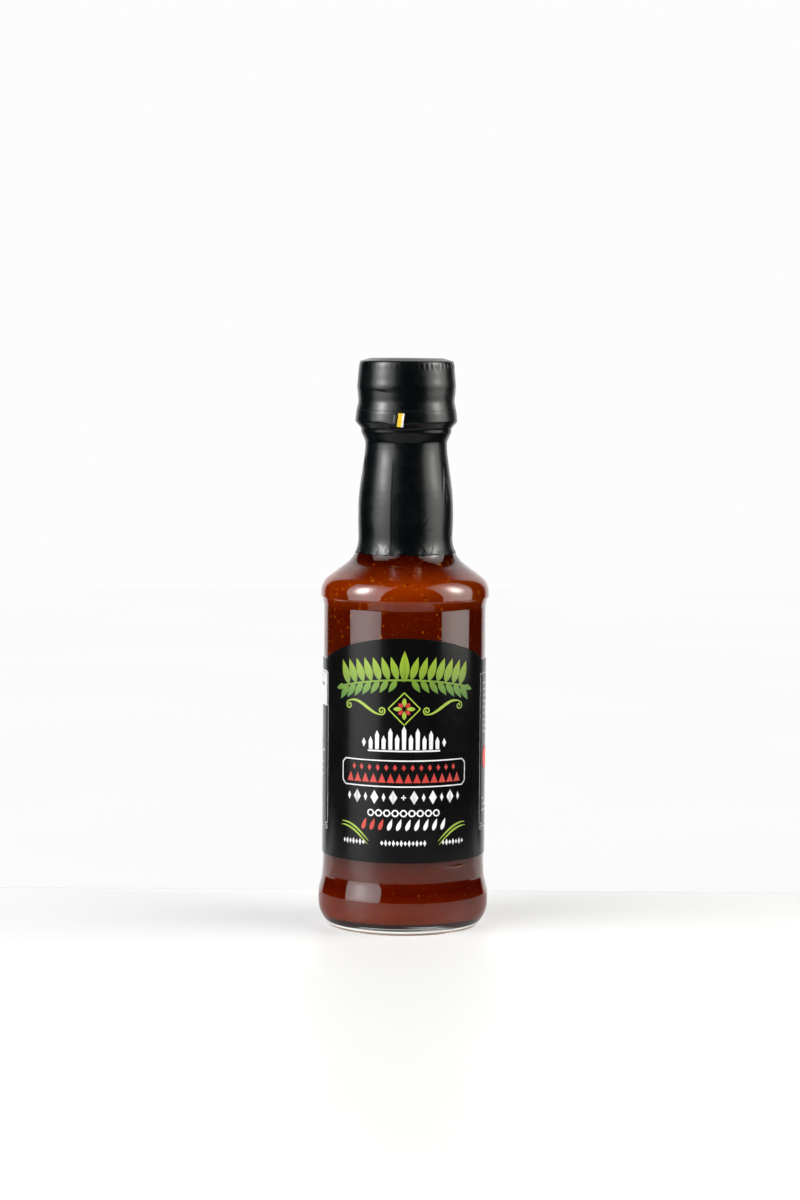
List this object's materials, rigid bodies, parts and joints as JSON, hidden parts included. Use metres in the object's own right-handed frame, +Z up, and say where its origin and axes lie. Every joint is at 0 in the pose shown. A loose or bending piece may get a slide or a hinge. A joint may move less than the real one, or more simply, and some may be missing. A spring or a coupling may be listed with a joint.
{
  "type": "hot sauce bottle",
  "caption": "Small glass bottle with a bulged neck, full of red-brown sauce, shut by a film-sealed roll-on cap and wrapped in a dark paper label.",
  "frame": {"origin": "centre of the ring that the bottle stands on, at floor level", "axes": "+Z up along the bottle's axis, -Y towards the label's front, +X to the right of the label seen from its front"},
  "size_m": [0.0492, 0.0492, 0.1643],
  "materials": {
    "clear_glass": "clear, glossy, slightly wavy",
    "sauce": "thick red-brown sauce with fine specks, wet against the glass",
    "black_lacquer": "satin lacquer",
    "black_film": "satin shrink film",
    "label_paper": "semi-matt coated paper, printed",
    "yellow_tab": "satin, white edge"
  },
  "bodies": {
    "root": {"bottle": "clear_glass", "sauce": "sauce", "cap": "black_lacquer", "capsule": "black_film", "label": "label_paper", "tear_tab": "yellow_tab"}
  },
  "joints": []
}
